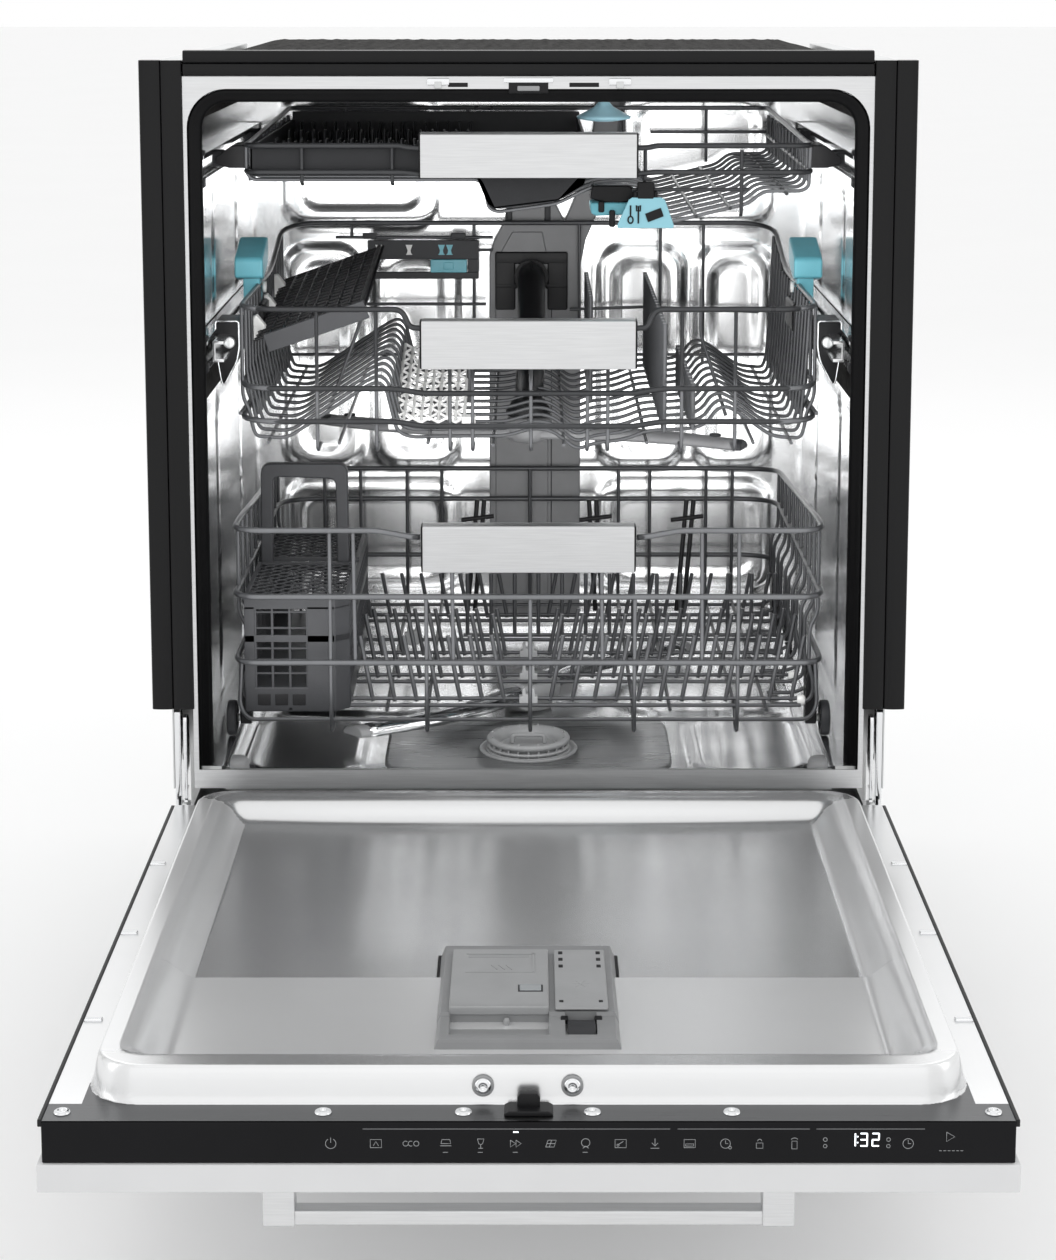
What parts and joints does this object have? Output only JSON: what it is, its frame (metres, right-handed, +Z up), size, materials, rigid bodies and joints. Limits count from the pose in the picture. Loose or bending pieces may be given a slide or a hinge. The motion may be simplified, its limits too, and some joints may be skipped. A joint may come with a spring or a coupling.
{
  "type": "built-in dishwasher",
  "caption": "Integrated dishwasher with a drop-down door, sliding wire racks on rollers and slides, spray arms, filter, detergent dispenser and levelling feet.",
  "frame": {"origin": "on the floor, centre of the whole object's bounding box with the door lowered", "axes": "+Z up; +Y from the open door's free end towards the back wall; +X to the right seen from the front"},
  "size_m": [0.63, 1.128, 0.823],
  "materials": {
    "stainless": "satin",
    "galvanised": "matt zinc",
    "brushed": "brushed",
    "chrome": "polished",
    "rubber": "matt",
    "felt": "matt felt",
    "black_gloss": "gloss",
    "dark_plastic": "satin",
    "grey_plastic": "satin",
    "light_plastic": "satin",
    "pale_plastic": "gloss",
    "aqua": "satin",
    "white_panel": "white lacquer",
    "wire": "satin coated"
  },
  "bodies": {
    "cabinet": {"tub_wrap": "stainless", "tub_back_wall": "stainless", "tub_floor_pan": "stainless", "front_flange": "galvanised", "door_gasket": "rubber", "side_panel_left": "galvanised", "side_panel_right": "galvanised", "top_insulation": "felt", "side_trim_left": "rubber", "side_trim_right": "rubber", "top_trim": "rubber", "base_tray": "dark_plastic", "sump_housing": "dark_plastic", "circulation_pump": "dark_plastic", "water_channel": "grey_plastic", "top_spray_nozzle": "pale_plastic", "filter_plate": "galvanised", "latch_catch": "galvanised", "middle_rail_left": "stainless", "middle_rail_right": "stainless", "third_rail_left": "stainless", "third_rail_right": "stainless"},
    "door": {"door_liner": "stainless", "door_outer_panel": "galvanised", "custom_panel": "white_panel", "control_panel": "black_gloss", "bar_handle": "brushed", "latch_strike": "black_gloss", "dispenser_body": "light_plastic", "hinge_arm_left": "chrome", "hinge_arm_right": "chrome"},
    "detergent_lid": {"detergent_lid": "light_plastic"},
    "rinse_flap": {"rinse_aid_flap": "light_plastic"},
    "filter": {"filter_cylinder": "grey_plastic"},
    "lower_arm": {"lower_spray_arm": "chrome"},
    "lower_rack": {"lower_rack": "wire", "lower_rack_handle": "brushed", "cutlery_basket": "dark_plastic"},
    "lower_tines": {"lower_tines": "wire"},
    "basket_lid_front": {"basket_lid_front": "dark_plastic"},
    "basket_lid_rear": {"basket_lid_rear": "dark_plastic"},
    "middle_carriage": {"middle_slide_left": "stainless", "middle_slide_right": "stainless"},
    "middle_rack": {"middle_rack": "wire", "middle_rack_handle": "brushed"},
    "height_lever_left": {"height_lever_left": "aqua"},
    "height_lever_right": {"height_lever_right": "aqua"},
    "middle_arm": {"middle_spray_arm": "grey_plastic"},
    "cup_shelf": {"cup_shelf": "dark_plastic"},
    "third_rack": {"third_rack": "wire", "third_rack_handle": "brushed", "cutlery_tray": "dark_plastic"},
    "foot_front_left": {"foot_front_left": "dark_plastic"},
    "foot_front_right": {"foot_front_right": "dark_plastic"},
    "foot_rear_left": {"foot_rear_left": "dark_plastic"},
    "foot_rear_right": {"foot_rear_right": "dark_plastic"},
    "wheel_front_left": {"wheel_front_left": "grey_plastic"},
    "wheel_front_right": {"wheel_front_right": "grey_plastic"},
    "wheel_rear_left": {"wheel_rear_left": "grey_plastic"},
    "wheel_rear_right": {"wheel_rear_right": "grey_plastic"}
  },
  "joints": [
    {"name": "door_hinge", "type": "hinge", "parent": "cabinet", "child": "door", "pos_m": [0, 0.058, 0.192], "axis": [1, 0, 0], "range_deg": [-90, 0]},
    {"name": "detergent_lid_slide", "type": "slide", "parent": "door", "child": "detergent_lid", "axis": [0, -1, 0], "range_m": [0, 0.04]},
    {"name": "rinse_flap_hinge", "type": "hinge", "parent": "door", "child": "rinse_flap", "pos_m": [0.035, -0.3215, 0.2114], "axis": [-1, 0, 0], "range_deg": [0, 85]},
    {"name": "filter_twist", "type": "hinge", "parent": "cabinet", "child": "filter", "pos_m": [0, 0.176, 0.2], "axis": [0, 0, 1], "range_deg": [0, 45]},
    {"name": "lower_arm_spin", "type": "hinge", "parent": "cabinet", "child": "lower_arm", "pos_m": [0, 0.3095, 0.228], "axis": [0, 0, 1], "continuous": true},
    {"name": "lower_rack_slide", "type": "slide", "parent": "cabinet", "child": "lower_rack", "axis": [0, -1, 0], "range_m": [0, 0.4]},
    {"name": "lower_tines_fold", "type": "hinge", "parent": "lower_rack", "child": "lower_tines", "pos_m": [0.09, 0.3655, 0.26], "axis": [1, 0, 0], "range_deg": [0, 85]},
    {"name": "basket_lid_front_hinge", "type": "hinge", "parent": "lower_rack", "child": "basket_lid_front", "pos_m": [-0.2435, 0.187, 0.356], "axis": [0, -1, 0], "range_deg": [0, 88]},
    {"name": "basket_lid_rear_hinge", "type": "hinge", "parent": "lower_rack", "child": "basket_lid_rear", "pos_m": [-0.2435, 0.331, 0.356], "axis": [0, -1, 0], "range_deg": [0, 88]},
    {"name": "wheel_front_left_roll", "type": "hinge", "parent": "lower_rack", "child": "wheel_front_left", "pos_m": [-0.259, 0.159, 0.24], "axis": [1, 0, 0], "continuous": true},
    {"name": "wheel_front_right_roll", "type": "hinge", "parent": "lower_rack", "child": "wheel_front_right", "pos_m": [0.259, 0.159, 0.24], "axis": [1, 0, 0], "continuous": true},
    {"name": "wheel_rear_left_roll", "type": "hinge", "parent": "lower_rack", "child": "wheel_rear_left", "pos_m": [-0.259, 0.484, 0.24], "axis": [1, 0, 0], "continuous": true},
    {"name": "wheel_rear_right_roll", "type": "hinge", "parent": "lower_rack", "child": "wheel_rear_right", "pos_m": [0.259, 0.484, 0.24], "axis": [1, 0, 0], "continuous": true},
    {"name": "middle_rack_slide", "type": "slide", "parent": "cabinet", "child": "middle_carriage", "axis": [0, -1, 0], "range_m": [0, 0.4]},
    {"name": "middle_rack_lift", "type": "slide", "parent": "middle_carriage", "child": "middle_rack", "axis": [0, 0, 1], "range_m": [0, 0.03]},
    {"name": "height_lever_left_press", "type": "hinge", "parent": "middle_rack", "child": "height_lever_left", "pos_m": [-0.247, 0.286, 0.589], "axis": [0, -1, 0], "range_deg": [0, 12], "stiffness_Nm_per_rad": 0.5},
    {"name": "height_lever_right_press", "type": "hinge", "parent": "middle_rack", "child": "height_lever_right", "pos_m": [0.247, 0.286, 0.589], "axis": [0, 1, 0], "range_deg": [0, 12], "stiffness_Nm_per_rad": 0.5},
    {"name": "middle_arm_spin", "type": "hinge", "parent": "middle_rack", "child": "middle_arm", "pos_m": [0, 0.3095, 0.47], "axis": [0, 0, 1], "continuous": true},
    {"name": "cup_shelf_fold", "type": "hinge", "parent": "middle_rack", "child": "cup_shelf", "pos_m": [-0.237, 0.309, 0.584], "axis": [0, -1, 0], "range_deg": [0, 70]},
    {"name": "third_rack_slide", "type": "slide", "parent": "cabinet", "child": "third_rack", "axis": [0, -1, 0], "range_m": [0, 0.4]},
    {"name": "foot_front_left_screw", "type": "slide", "parent": "cabinet", "child": "foot_front_left", "axis": [0, 0, -1], "range_m": [0, 0.03]},
    {"name": "foot_front_right_screw", "type": "slide", "parent": "cabinet", "child": "foot_front_right", "axis": [0, 0, -1], "range_m": [0, 0.03]},
    {"name": "foot_rear_left_screw", "type": "slide", "parent": "cabinet", "child": "foot_rear_left", "axis": [0, 0, -1], "range_m": [0, 0.03]},
    {"name": "foot_rear_right_screw", "type": "slide", "parent": "cabinet", "child": "foot_rear_right", "axis": [0, 0, -1], "range_m": [0, 0.03]}
  ],
  "couplings": [
    {"joint": "wheel_front_left_roll", "follows": "lower_rack_slide", "rad_per_m": 62.5},
    {"joint": "wheel_front_right_roll", "follows": "lower_rack_slide", "rad_per_m": 62.5},
    {"joint": "wheel_rear_left_roll", "follows": "lower_rack_slide", "rad_per_m": 62.5},
    {"joint": "wheel_rear_right_roll", "follows": "lower_rack_slide", "rad_per_m": 62.5}
  ]
}
